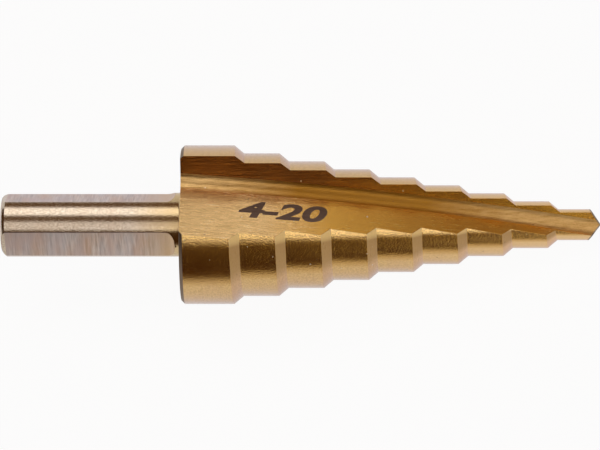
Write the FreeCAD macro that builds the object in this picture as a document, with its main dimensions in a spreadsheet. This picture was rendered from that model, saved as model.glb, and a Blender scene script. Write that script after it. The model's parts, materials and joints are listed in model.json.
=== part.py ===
"""A step drill for sheet metal: nine steps from 4 mm to 20 mm on a three-flat shank.

The drill is ground from one bar. It is modelled along X, with the end of the shank at
zero and the tip toward +X, and the flute that shows in the middle of its own view facing
+Z. The finished piece is then laid on the table as it would come to rest, on the corners
beside the flute that faces down, with the middle of its bounding box over the origin.
"""

import FreeCAD
import Part
import Sketcher
import math
import os
from itertools import combinations

from FreeCAD import Placement, Rotation, Vector

NODE = "step_drill"

FLUTE_COUNT = 2
FLAT_COUNT = 3

# Millimetres. A corner this close to the table counts as standing on it.
SEATING = 0.003

# Millimetres. How closely a mesh follows the piece where its box is measured.
MESHING = 0.005

DRIVING_SIZES = [
    ("shank_diameter", 8.0, "round part that the chuck grips"),
    ("shank_length", 22.4, "from the end of the shank to the back of the head"),
    ("shank_chamfer", 0.55, "at the end of the shank"),
    ("chamfer_crown", 1.5, "radius of the chamfer's slightly rounded face"),
    ("neck_fillet", 0.35, "where the shank meets the back of the head"),
    ("flat_height", 3.45, "from the axis to each of the three chuck flats"),
    ("flat_length", 20.5, "straight part of a flat"),
    ("flat_runout", 1.5, "radius left by the wheel at the end of a flat"),
    ("flat_turn", 50.2, "direction of the first flat, from straight up"),
    ("largest_diameter", 20.0, "cutting diameter of the last step"),
    ("smallest_diameter", 4.0, "cutting diameter of the tip"),
    ("diameter_step", 2.0, "from each step to the next"),
    ("largest_land", 6.6, "length of the last step"),
    ("step_pitch", 5.62, "from the front corner of a step to the next"),
    ("tip_length", 6.66, "from the front corner of the second step to the tip"),
    ("cone_angle", 40.0, "slope of the short cone in front of each step"),
    ("back_chamfer", 0.5, "at the back rim of the last step"),
    ("relief_offset", 0.15, "shift of each half's centre, so that its land falls away"),
    ("rake_angle", 35.0, "rake face, from straight up"),
    ("rake_offset", 0.39, "how far the rake face stands ahead of the axis"),
    ("flute_angle", 106.5, "between the rake face and the floor of the flute"),
    ("flute_radius", 1.6, "in the corner of the flute"),
    ("corner_back", 6.36, "corner of the flute from the axis, at the back of the head"),
    ("corner_front", -0.46, "the same at the tip, where the corner radius leaves the web"),
    ("flute_arc", 500.0, "radius of the arc that the corner follows along the drill"),
    ("point_angle", 106.0, "between the two cutting lips"),
    ("point_relief", 15.0, "fall of each flank behind its lip"),
    ("overrun", 2.0, "how far a cut reaches past what it cuts"),
]

DERIVED_SIZES = [
    ("step_count", "round((largest_diameter - smallest_diameter) / diameter_step) + 1"),
    ("first_front", "shank_length + largest_land"),
    ("tip", "first_front + (step_count - 2) * step_pitch + tip_length"),
    ("relief_shift", "relief_offset * cos(rake_angle)"),
    ("cone_length", "diameter_step / 2 / tan(cone_angle)"),
    ("flute_start", "shank_length - overrun"),
    ("flute_end", "tip + overrun"),
    ("arc_rise", "corner_front - corner_back"),
    ("arc_run", "tip - shank_length"),
    ("arc_chord", "sqrt(arc_rise ^ 2 + arc_run ^ 2)"),
    ("arc_height", "sqrt(flute_arc ^ 2 - arc_chord ^ 2 / 4)"),
    ("arc_centre_along", "(shank_length + tip) / 2 + arc_height * arc_rise / arc_chord"),
    ("arc_centre_out", "(corner_back + corner_front) / 2 - arc_height * arc_run / arc_chord"),
    ("corner_start", "arc_centre_out + sqrt(flute_arc ^ 2 - (flute_start - arc_centre_along) ^ 2)"),
    ("corner_end", "arc_centre_out + sqrt(flute_arc ^ 2 - (flute_end - arc_centre_along) ^ 2)"),
    ("wheel_reach", "largest_diameter / 2 + 2 * overrun"),
    ("lip_slope", "1 / tan(point_angle / 2)"),
    ("flank_slope", "tan(point_relief)"),
    ("roof_slope", "sqrt(lip_slope ^ 2 + flank_slope ^ 2)"),
    ("roof_turn", "rake_angle + atan(flank_slope / lip_slope) / 1 deg"),
    ("roof_reach", "smallest_diameter / 2 + overrun / 2"),
]


def write_sheet(doc):
    """Puts the driving sizes and the sizes that follow from them in one sheet."""
    sheet = doc.addObject("Spreadsheet::Sheet", "sizes")
    row = 1
    for alias, value, meaning in DRIVING_SIZES:
        sheet.set(f"A{row}", alias)
        sheet.set(f"B{row}", str(value))
        sheet.set(f"C{row}", meaning)
        sheet.setAlias(f"B{row}", alias)
        row += 1
    for alias, formula in DERIVED_SIZES:
        sheet.set(f"A{row}", alias)
        sheet.set(f"B{row}", f"={formula}")
        sheet.setAlias(f"B{row}", alias)
        row += 1
    doc.recompute()
    return sheet


def origin_part(body, role):
    """Finds a plane or an axis of the body's own origin by its role."""
    return next(part for part in body.Origin.OriginFeatures if part.Role == role)


def sketch_along(body, name, turn=None, shift=None):
    """Makes a sketch that holds the axis of the drill, with Y of the sketch turned from +Z.

    turn is the expression of the angle about the axis, and shift that of a move outward.
    """
    sketch = body.newObject("Sketcher::SketchObject", name)
    sketch.AttachmentSupport = [(origin_part(body, "XZ_Plane"), "")]
    sketch.MapMode = "FlatFace"
    if turn:
        start = float(sketch.evalExpression(turn))
        sketch.AttachmentOffset = Placement(Vector(), Rotation(Vector(-1, 0, 0), start))
        sketch.setExpression("AttachmentOffset.Rotation.Angle", turn)
    if shift:
        sketch.setExpression("AttachmentOffset.Base.y", shift)
    return sketch


def constrain(sketch, kind, where, expression):
    """Adds one dimension to the sketch and binds it to its expression."""
    value = float(sketch.evalExpression(expression))
    if kind == "Angle":
        value = math.radians(value)
    index = sketch.addConstraint(Sketcher.Constraint(kind, *where, value))
    sketch.setExpression(f"Constraints[{index}]", expression)


def draw_outline(sketch, corners, crowned_side=None, crown=None):
    """Draws a closed outline through corners, each given as its two expressions.

    A corner that shares an expression with the one before it is joined to it by a level
    or an upright line, and only what is left of it gets a dimension. The outline goes
    round clockwise. One side may be crowned: an arc of the radius given by crown.
    """
    points = []
    for corner in corners:
        along, out = (float(sketch.evalExpression(expression)) for expression in corner)
        points.append(Vector(along, out, 0))
    count = len(corners)
    for index in range(count):
        end = points[(index + 1) % count]
        if index == crowned_side:
            radius = float(sketch.evalExpression(crown))
            sketch.addGeometry(crowned_arc(points[index], end, radius), False)
        else:
            sketch.addGeometry(Part.LineSegment(points[index], end), False)
    begins = [2 if index == crowned_side else 1 for index in range(count)]
    for index in range(count):
        after = (index + 1) % count
        end_of_side = 3 - begins[index]
        joint = Sketcher.Constraint("Coincident", index, end_of_side, after, begins[after])
        sketch.addConstraint(joint)
    if crown:
        constrain(sketch, "Radius", (crowned_side,), crown)
    for index in range(count):
        along, out = corners[index]
        along_before, out_before = corners[index - 1]
        line_before = (index - 1) % count
        corner = (-1, 1, index, begins[index])
        if along == along_before and index > 0:
            sketch.addConstraint(Sketcher.Constraint("Vertical", line_before))
        else:
            constrain(sketch, "DistanceX", corner, along)
        if out == "0":
            sketch.addConstraint(Sketcher.Constraint("PointOnObject", index, begins[index], -1))
        elif out == out_before and index > 0:
            sketch.addConstraint(Sketcher.Constraint("Horizontal", line_before))
        else:
            constrain(sketch, "DistanceY", corner, out)


def crowned_arc(start, end, radius):
    """Makes the arc that bulges to the left of the way from start to end."""
    middle = (start + end) / 2
    way = end - start
    inward = Vector(way.y, -way.x, 0).normalize()
    centre = middle + inward * math.sqrt(radius ** 2 - way.Length ** 2 / 4)
    circle = Part.Circle(centre, Vector(0, 0, 1), radius)
    return Part.ArcOfCircle(circle, circle.parameter(end), circle.parameter(start))


def land_radius(step):
    """Radius of a step about the shifted centre of its half."""
    return f"sizes.largest_diameter / 2 - {step} * sizes.diameter_step / 2 - sizes.relief_shift"


def front_corner(step):
    """Place of a step's front corner along the drill."""
    return f"sizes.first_front + {step} * sizes.step_pitch"


def head_corners(step_count):
    """Corners of the stepped outline, from the back of the head to the tip."""
    corners = [
        ("sizes.shank_length", "0"),
        ("sizes.shank_length", f"{land_radius(0)} - sizes.back_chamfer"),
        ("sizes.shank_length + sizes.back_chamfer", land_radius(0)),
    ]
    for step in range(step_count - 1):
        corners.append((front_corner(step), land_radius(step)))
        corners.append((f"{front_corner(step)} + sizes.cone_length", land_radius(step + 1)))
    corners.append(("sizes.tip", land_radius(step_count - 1)))
    corners.append(("sizes.tip", "0"))
    return corners


def pattern_about_axis(body, name, original, count):
    """Repeats a feature evenly about the axis of the drill."""
    pattern = body.newObject("PartDesign::PolarPattern", name)
    pattern.Originals = [original]
    pattern.Axis = (origin_part(body, "X_Axis"), [""])
    pattern.Angle = 360
    pattern.Occurrences = count
    body.Tip = pattern
    return pattern


def add_head(body):
    """Turns one half of the stepped head about its own shifted centre, then the other.

    Each land starts at its cutting diameter and falls away to its heel. The seams between
    the halves lie where the flutes are cut.
    """
    sketch = sketch_along(body, "head_outline", shift="sizes.relief_offset")
    draw_outline(sketch, head_corners(int(sketch.evalExpression("sizes.step_count"))))
    half = body.newObject("PartDesign::Revolution", "head_half")
    half.Profile = sketch
    half.ReferenceAxis = (sketch, ["H_Axis"])
    half.Angle = 360 / FLUTE_COUNT
    half.Reversed = True
    sketch.Visibility = False
    pattern_about_axis(body, "head_halves", half, FLUTE_COUNT)


def add_shank(body):
    """Turns the shank with its crowned end chamfer, and rounds the corner against the head."""
    radius = "sizes.shank_diameter / 2"
    inside = "sizes.shank_length + sizes.overrun / 2"
    sketch = sketch_along(body, "shank_outline")
    draw_outline(sketch, [
        ("0", "0"),
        ("0", f"{radius} - sizes.shank_chamfer"),
        ("sizes.shank_chamfer", radius),
        (inside, radius),
        (inside, "0"),
    ], crowned_side=1, crown="sizes.chamfer_crown")
    shank = body.newObject("PartDesign::Revolution", "shank")
    shank.Profile = sketch
    shank.ReferenceAxis = (sketch, ["H_Axis"])
    shank.Angle = 360
    sketch.Visibility = False
    body.Tip = shank
    body.Document.recompute()
    fillet = body.newObject("PartDesign::Fillet", "neck")
    fillet.Base = (shank, neck_edges(shank))
    fillet.setExpression("Radius", "sizes.neck_fillet")
    body.Tip = fillet


def neck_edges(shank):
    """Names of the round edges where the shank meets the back of the head."""
    radius = float(shank.evalExpression("sizes.shank_diameter / 2"))
    place = float(shank.evalExpression("sizes.shank_length"))
    names = []
    for index, edge in enumerate(shank.Shape.Edges, start=1):
        box = edge.BoundBox
        level = abs(box.XMin - place) < 0.001 and abs(box.XMax - place) < 0.001
        if level and abs(edge.distToShape(Part.Vertex(place, 0, 0))[0] - radius) < 0.001:
            names.append(f"Edge{index}")
    return names


def add_flutes(body):
    """Grinds the two flutes: a rounded V that follows one shallow arc down the head.

    The rake face is the flat that the V's upright side leaves, and the arc makes the web
    thinnest at the tip. The path lies in the rake plane, and the V keeps its direction.
    """
    path = sketch_along(body, "flute_path", turn="sizes.rake_angle")
    size = path.evalExpression
    centre = Vector(float(size("sizes.arc_centre_along")), float(size("sizes.arc_centre_out")), 0)
    start = Vector(float(size("sizes.flute_start")), float(size("sizes.corner_start")), 0)
    end = Vector(float(size("sizes.flute_end")), float(size("sizes.corner_end")), 0)
    circle = Part.Circle(centre, Vector(0, 0, 1), float(size("sizes.flute_arc")))
    path.addGeometry(Part.ArcOfCircle(circle, circle.parameter(end), circle.parameter(start)), False)
    constrain(path, "DistanceX", (-1, 1, 0, 3), "sizes.arc_centre_along")
    constrain(path, "DistanceY", (0, 3, -1, 1), "-sizes.arc_centre_out")
    constrain(path, "DistanceX", (-1, 1, 0, 2), "sizes.flute_start")
    constrain(path, "DistanceX", (-1, 1, 0, 1), "sizes.flute_end")
    constrain(path, "Radius", (0,), "sizes.flute_arc")

    section = flute_section(body)
    flute = body.newObject("PartDesign::SubtractivePipe", "flute")
    flute.Profile = section
    flute.Spine = (path, ["Edge1"])
    flute.Mode = "Fixed"
    path.Visibility = False
    section.Visibility = False
    body.Tip = flute
    body.Document.recompute()
    pattern_about_axis(body, "flutes", flute, FLUTE_COUNT)


def flute_section(body):
    """Draws the section that the wheel leaves, square to the axis behind the head.

    In the sketch, Y runs along the rake face and X points behind the cutting edge.
    """
    sketch = body.newObject("Sketcher::SketchObject", "flute_section")
    sketch.AttachmentSupport = [(origin_part(body, "YZ_Plane"), "")]
    sketch.MapMode = "FlatFace"
    turn = float(sketch.evalExpression("sizes.rake_angle"))
    sketch.AttachmentOffset = Placement(Vector(), Rotation(Vector(0, 0, -1), turn))
    sketch.setExpression("AttachmentOffset.Rotation.Angle", "sizes.rake_angle")
    sketch.setExpression("AttachmentOffset.Base.z", "sizes.flute_start")
    size = sketch.evalExpression
    reach = float(size("sizes.wheel_reach"))
    rounding = float(size("sizes.flute_radius"))
    rake = -float(size("sizes.rake_offset"))
    tilt = math.radians(float(size("sizes.flute_angle")) - 90)
    centre_out = "sizes.corner_start + sizes.flute_radius / tan(sizes.flute_angle / 2)"
    centre = Vector(rake - rounding, float(size(centre_out)), 0)
    rake_foot = centre + Vector(rounding, 0, 0)
    floor_foot = centre + Vector(math.sin(tilt), -math.cos(tilt), 0) * rounding
    floor_end = Vector(-reach, floor_foot.y - (floor_foot.x + reach) * math.tan(tilt), 0)
    circle = Part.Circle(centre, Vector(0, 0, 1), rounding)
    sketch.addGeometry(Part.LineSegment(floor_end, floor_foot), False)
    sketch.addGeometry(Part.ArcOfCircle(circle, circle.parameter(floor_foot), 2 * math.pi), False)
    sketch.addGeometry(Part.LineSegment(rake_foot, Vector(rake, reach, 0)), False)
    sketch.addGeometry(Part.LineSegment(Vector(rake, reach, 0), Vector(-reach, reach, 0)), False)
    sketch.addGeometry(Part.LineSegment(Vector(-reach, reach, 0), floor_end), False)
    sketch.addConstraint(Sketcher.Constraint("Tangent", 0, 2, 1, 1))
    sketch.addConstraint(Sketcher.Constraint("Tangent", 1, 2, 2, 1))
    sketch.addConstraint(Sketcher.Constraint("Coincident", 2, 2, 3, 1))
    sketch.addConstraint(Sketcher.Constraint("Coincident", 3, 2, 4, 1))
    sketch.addConstraint(Sketcher.Constraint("Coincident", 4, 2, 0, 1))
    sketch.addConstraint(Sketcher.Constraint("Vertical", 2))
    sketch.addConstraint(Sketcher.Constraint("Horizontal", 3))
    sketch.addConstraint(Sketcher.Constraint("Vertical", 4))
    constrain(sketch, "Angle", (0,), "sizes.flute_angle - 90")
    constrain(sketch, "Radius", (1,), "sizes.flute_radius")
    constrain(sketch, "DistanceX", (2, 1, -1, 1), "sizes.rake_offset")
    constrain(sketch, "DistanceY", (-1, 1, 1, 3), centre_out)
    constrain(sketch, "DistanceY", (-1, 1, 3, 1), "sizes.wheel_reach")
    constrain(sketch, "DistanceX", (4, 1, -1, 1), "sizes.wheel_reach")
    return sketch


def add_point(body):
    """Grinds both flanks of the point in one roof-shaped cut.

    Each flank is flat, holds its lip and falls away behind it. Seen along the chisel
    edge, where the flanks meet, the two of them look like the two sides of a roof.
    """
    foot = "sizes.tip - sizes.roof_reach * sizes.roof_slope"
    sketch = sketch_along(body, "point_outline", turn="sizes.roof_turn")
    size = sketch.evalExpression
    apex = Vector(float(size("sizes.tip")), 0, 0)
    reach = float(size("sizes.roof_reach"))
    back = float(size(foot))
    front = float(size("sizes.flute_end"))
    points = [
        apex,
        Vector(back, reach, 0),
        Vector(front, reach, 0),
        Vector(front, -reach, 0),
        Vector(back, -reach, 0),
    ]
    for index in range(5):
        sketch.addGeometry(Part.LineSegment(points[index], points[(index + 1) % 5]), False)
    for index in range(5):
        sketch.addConstraint(Sketcher.Constraint("Coincident", index, 2, (index + 1) % 5, 1))
    sketch.addConstraint(Sketcher.Constraint("PointOnObject", 0, 1, -1))
    sketch.addConstraint(Sketcher.Constraint("Horizontal", 1))
    sketch.addConstraint(Sketcher.Constraint("Vertical", 2))
    sketch.addConstraint(Sketcher.Constraint("Horizontal", 3))
    sketch.addConstraint(Sketcher.Constraint("Symmetric", 1, 1, 4, 1, -1))
    constrain(sketch, "DistanceX", (-1, 1, 0, 1), "sizes.tip")
    constrain(sketch, "DistanceX", (-1, 1, 1, 1), foot)
    constrain(sketch, "DistanceY", (-1, 1, 1, 1), "sizes.roof_reach")
    constrain(sketch, "DistanceX", (-1, 1, 2, 1), "sizes.flute_end")
    cut_both_ways(body, "point", sketch, "2 * sizes.wheel_reach")


def add_flats(body):
    """Grinds the three chuck flats, each with the hollow end that its wheel leaves."""
    top = "sizes.flat_height + sizes.flat_runout"
    sketch = sketch_along(body, "flat_outline", turn="sizes.flat_turn")
    size = sketch.evalExpression
    start = -float(size("sizes.overrun"))
    length = float(size("sizes.flat_length"))
    height = float(size("sizes.flat_height"))
    runout = float(size("sizes.flat_runout"))
    circle = Part.Circle(Vector(length, height + runout, 0), Vector(0, 0, 1), runout)
    foot = Vector(start, height, 0)
    roof = Vector(start, height + runout, 0)
    arc_end = Vector(length + runout, height + runout, 0)
    sketch.addGeometry(Part.LineSegment(foot, Vector(length, height, 0)), False)
    sketch.addGeometry(Part.ArcOfCircle(circle, math.radians(270), math.radians(360)), False)
    sketch.addGeometry(Part.LineSegment(arc_end, roof), False)
    sketch.addGeometry(Part.LineSegment(roof, foot), False)
    sketch.addConstraint(Sketcher.Constraint("Tangent", 0, 2, 1, 1))
    sketch.addConstraint(Sketcher.Constraint("Coincident", 1, 2, 2, 1))
    sketch.addConstraint(Sketcher.Constraint("Coincident", 2, 2, 3, 1))
    sketch.addConstraint(Sketcher.Constraint("Coincident", 3, 2, 0, 1))
    sketch.addConstraint(Sketcher.Constraint("Horizontal", 0))
    sketch.addConstraint(Sketcher.Constraint("Horizontal", 2))
    sketch.addConstraint(Sketcher.Constraint("Vertical", 3))
    constrain(sketch, "DistanceX", (0, 1, -1, 1), "sizes.overrun")
    constrain(sketch, "DistanceX", (-1, 1, 0, 2), "sizes.flat_length")
    constrain(sketch, "DistanceY", (-1, 1, 0, 1), "sizes.flat_height")
    constrain(sketch, "DistanceY", (-1, 1, 1, 2), top)
    constrain(sketch, "Radius", (1,), "sizes.flat_runout")
    flat = cut_both_ways(body, "flat", sketch, "sizes.shank_diameter")
    body.Document.recompute()
    pattern_about_axis(body, "flats", flat, FLAT_COUNT)


def cut_both_ways(body, name, sketch, width):
    """Cuts the sketch's outline out of the piece, evenly to both sides of the sketch."""
    pocket = body.newObject("PartDesign::Pocket", name)
    pocket.Profile = sketch
    pocket.Type = "Length"
    pocket.SideType = "Symmetric"
    pocket.setExpression("Length", width)
    sketch.Visibility = False
    body.Tip = pocket
    return pocket


def resting_placement(shape, head_start):
    """Lays the piece on the table on the side that faces down in its own view.

    The table touches three corners of the head with no corner below them and the centre
    of mass over the triangle between them. Of the triangles that fit, the widest is taken.
    The axis of the drill then runs along X, and the box around the piece stands on the
    origin.
    """
    centre = shape.CenterOfMass
    corners = [vertex.Point for vertex in shape.Vertexes]
    low = [corner for corner in corners if corner.z < 0 and corner.x > head_start - SEATING]
    best_area = 0
    upward = Vector(0, 0, 1)
    for first, second, third in combinations(low, 3):
        normal = (second - first).cross(third - first)
        area = normal.Length
        if area <= best_area:
            continue
        normal = normal.normalize()
        if normal.z < 0:
            normal = normal * -1
        if any((corner - first).dot(normal) < -SEATING for corner in low):
            continue
        foot = centre - normal * (centre - first).dot(normal)
        if over_triangle(foot, first, second, third, normal):
            best_area = area
            upward = normal
    along = Vector(1, 0, 0) - upward * upward.x
    turned = Placement(Vector(), Rotation(along, upward.cross(along), upward, "ZXY").inverted())
    box = box_around(shape, turned)
    shift = Vector(-(box.XMin + box.XMax) / 2, -(box.YMin + box.YMax) / 2, -box.ZMin)
    return Placement(shift, turned.Rotation)


def box_around(shape, placement):
    """Measures the box around the shape once it is placed, on a fine mesh of it."""
    box = FreeCAD.BoundBox()
    for point in shape.tessellate(MESHING)[0]:
        box.add(placement.multVec(point))
    return box


def over_triangle(foot, first, second, third, normal):
    """Tells whether a point of the plane lies inside the triangle."""
    sides = []
    for start, end in ((first, second), (second, third), (third, first)):
        sides.append((end - start).cross(foot - start).dot(normal))
    return all(side > 0 for side in sides) or all(side < 0 for side in sides)


def check(doc):
    """Stops with a message if any object of the document failed or is not sound."""
    for item in doc.Objects:
        if "Invalid" in item.State or "Error" in item.State:
            raise RuntimeError(f"{item.Name} failed: {item.State}")
    body = doc.getObject(NODE)
    if body.Shape.isNull() or not body.Shape.isValid() or len(body.Shape.Solids) != 1:
        raise RuntimeError(f"{NODE} is not one sound solid")


def build_drill(doc):
    """Builds the drill feature by feature and lays it on the table."""
    write_sheet(doc)
    body = doc.addObject("PartDesign::Body", NODE)
    body.Label = NODE
    for add in (add_head, add_shank, add_flutes, add_point, add_flats):
        add(body)
        doc.recompute()
        print(f"{body.Tip.Name}: volume {body.Tip.Shape.Volume:.2f} mm3")
    head_start = float(body.evalExpression("sizes.shank_length"))
    body.Placement = resting_placement(body.Tip.Shape.Solids[0], head_start)
    doc.recompute()
    return body


def main():
    doc = FreeCAD.newDocument("step_drill_model")
    body = build_drill(doc)
    check(doc)
    os.makedirs("parts", exist_ok=True)
    body.Shape.exportStep(f"parts/{NODE}.step")
    box = box_around(body.Shape, Placement())
    base = body.Placement.Base
    turn = body.Placement.Rotation.getYawPitchRoll()
    print(f"box {box.XLength:.3f} x {box.YLength:.3f} x {box.ZLength:.3f} mm, from {box.ZMin:.4f} up")
    print(
        f"shank end at {base.x:.4f} {base.y:.4f} {base.z:.4f} mm, "
        f"nose down {turn[1]:.4f} deg, rolled {turn[2]:.4f} deg"
    )
    print(f"volume {body.Shape.Volume:.3f} mm3, area {body.Shape.Area:.3f} mm2")


main()
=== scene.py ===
# %% [markdown]
# # A gold-coated step drill
#
# A step drill opens holes in sheet metal. This one has nine ground steps from 4 mm to
# 20 mm, two straight flutes, a thin gold coating on its head, and a heat-tinted shank with
# three flats. The solid that the checks use comes from the frame. Everything that is seen
# is made here, in metres, in the same place.

# %% The frame and its box
import json
import math

import bmesh
import bpy
from mathutils import Matrix, Vector


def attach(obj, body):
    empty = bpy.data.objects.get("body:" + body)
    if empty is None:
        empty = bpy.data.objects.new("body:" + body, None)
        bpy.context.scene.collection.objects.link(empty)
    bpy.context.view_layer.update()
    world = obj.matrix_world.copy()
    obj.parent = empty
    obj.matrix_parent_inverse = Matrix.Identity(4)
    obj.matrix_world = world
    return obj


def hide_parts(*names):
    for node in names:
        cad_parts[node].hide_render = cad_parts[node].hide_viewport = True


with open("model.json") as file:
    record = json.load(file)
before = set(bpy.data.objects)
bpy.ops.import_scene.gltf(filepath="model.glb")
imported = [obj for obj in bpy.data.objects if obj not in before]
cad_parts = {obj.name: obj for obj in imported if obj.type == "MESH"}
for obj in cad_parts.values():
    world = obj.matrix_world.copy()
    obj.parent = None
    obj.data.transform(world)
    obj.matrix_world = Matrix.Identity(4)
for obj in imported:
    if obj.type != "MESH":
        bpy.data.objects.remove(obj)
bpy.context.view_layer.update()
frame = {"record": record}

# %% [markdown]
# ## Where the drill lies
#
# The drill lies nose down on its step corners. Its own axes are easiest to read from its
# mounts: the end of the shank faces away from the tip, and the first chuck flat faces a
# known direction around the axis. From these two we make one matrix, which carries every
# shape from the drill's own axes, with X along the drill and Z toward the middle of the
# upper flute, to its place on the table.

# %% The drill's own axes
MM = 0.001
FLAT_TURN = math.radians(50.2)

mounts = {mount["name"]: mount for mount in frame["record"]["mounts"]}
shank_end = Vector(mounts["shank_end"]["pos_m"])
along = -Vector(mounts["shank_end"]["axis"]).normalized()
flat_normal = Vector(mounts["flat_a"]["axis"]).normalized()
upward = flat_normal * math.cos(FLAT_TURN) + along.cross(flat_normal) * math.sin(FLAT_TURN)
across = upward.cross(along)
to_table = Matrix((along, across, upward)).transposed().to_4x4()
to_table.translation = shank_end
print("shank end at", [round(value / MM, 2) for value in shank_end], "mm")

# %% [markdown]
# ## The camera
#
# The photo looks down on the drill from one side, with the axis level across the picture
# and the tip just past the right edge. The camera stands square to the axis at the middle
# of the picture, close enough that the near side of each step is drawn a little larger.

# %% The camera
PHOTO_WIDTH = 600
PHOTO_HEIGHT = 450
SENSOR = 36.0
VIEW_TURN = math.radians(-25.0)
VIEW_DISTANCE = 320 * MM
VIEW_MIDDLE = 37.2 * MM
VIEW_SCALE = 7.98 / MM
AXIS_ROW = 224.65

drill_x, drill_y, drill_z = (
    to_table.to_3x3() @ Vector(axis) for axis in ((1, 0, 0), (0, 1, 0), (0, 0, 1))
)
toward_camera = drill_z * math.cos(VIEW_TURN) + drill_y * math.sin(VIEW_TURN)
picture_up = toward_camera.cross(drill_x)


def on_axis(place):
    """A point of the drill's axis, measured from the end of the shank."""
    return shank_end + drill_x * place


def add_object(name, data):
    """Makes an object at the origin and puts it into the scene."""
    made = bpy.data.objects.new(name, data)
    bpy.context.scene.collection.objects.link(made)
    return made


camera_data = bpy.data.cameras.new("camera")
camera = add_object("camera", camera_data)
lift = (PHOTO_HEIGHT / 2 - AXIS_ROW) / VIEW_SCALE
camera.matrix_world = Matrix((drill_x, picture_up, toward_camera)).transposed().to_4x4()
camera.location = on_axis(VIEW_MIDDLE) - picture_up * lift + toward_camera * VIEW_DISTANCE
camera_data.sensor_width = SENSOR
camera_data.lens = SENSOR * VIEW_SCALE * VIEW_DISTANCE / PHOTO_WIDTH
camera_data.clip_start = 10 * MM
bpy.context.scene.camera = camera
print("lens", round(camera_data.lens, 1), "mm")

# %% [markdown]
# ## Formulas as nodes
#
# The head of the drill follows a rule: every point of its skin can be worked out from how
# far along it is and how far around. Geometry Nodes can hold such a rule, but a formula of
# a hundred Math nodes is hard to read. So a small class stands for a number inside the
# tree. Adding two of them adds a Math node, and the formulas below read as plain algebra.

# %% A number inside a node tree
class Number:
    """A value inside a node tree, with Math nodes for its arithmetic."""

    def __init__(self, tree, socket):
        self.tree = tree
        self.socket = socket

    def math(self, operation, *others):
        node = self.tree.nodes.new("ShaderNodeMath")
        node.operation = operation
        for place, value in enumerate((self, *others)):
            if isinstance(value, Number):
                self.tree.links.new(value.socket, node.inputs[place])
            else:
                node.inputs[place].default_value = value
        return Number(self.tree, node.outputs[0])

    def __add__(self, other):
        return self.math("ADD", other)

    def __sub__(self, other):
        return self.math("SUBTRACT", other)

    def __mul__(self, other):
        return self.math("MULTIPLY", other)

    def __truediv__(self, other):
        return self.math("DIVIDE", other)

    def __neg__(self):
        return self.math("MULTIPLY", -1.0)

    __radd__ = __add__
    __rmul__ = __mul__

    def __rsub__(self, other):
        return -self + other

    def __rtruediv__(self, other):
        return self.math("POWER", -1.0) * other

# %% [markdown]
# The outline of a ground part is a chain of flats and arcs. Each has a formula of its own,
# which runs from zero to one. A helper deals the rows or columns of a grid out to them in
# turn, so that every joint between two stretches is an edge of the mesh.

# %% Functions of a number
def sine(value):
    return value.math("SINE")


def cosine(value):
    return value.math("COSINE")


def root(value):
    return value.math("SQRT")


def choose(condition, yes, no):
    """The first value where the condition is one, and the second where it is zero."""
    return no + condition * (yes - no)


def piecewise(index, pieces):
    """Joins formulas end to end: each has a count of grid steps and runs from 0 to 1."""
    result = None
    start = 0
    for count, formula in pieces:
        share = ((index - start) / count).math("MAXIMUM", 0.0).math("MINIMUM", 1.0)
        values = formula(share)
        if result is None:
            result = values
        else:
            beyond = index.math("GREATER_THAN", start)
            result = [choose(beyond, new, old) for new, old in zip(values, result)]
        start += count
    return result

# %% [markdown]
# A tree like this starts from a flat grid, one vertex for each row along the drill and
# each column around it, and ends by moving every vertex to its formula. The sizes come in
# as named inputs of the tree, so a reader can change a size and watch the shape follow.

# %% A tree that bends a grid into a skin
WELD = 0.0005 * MM


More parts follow.
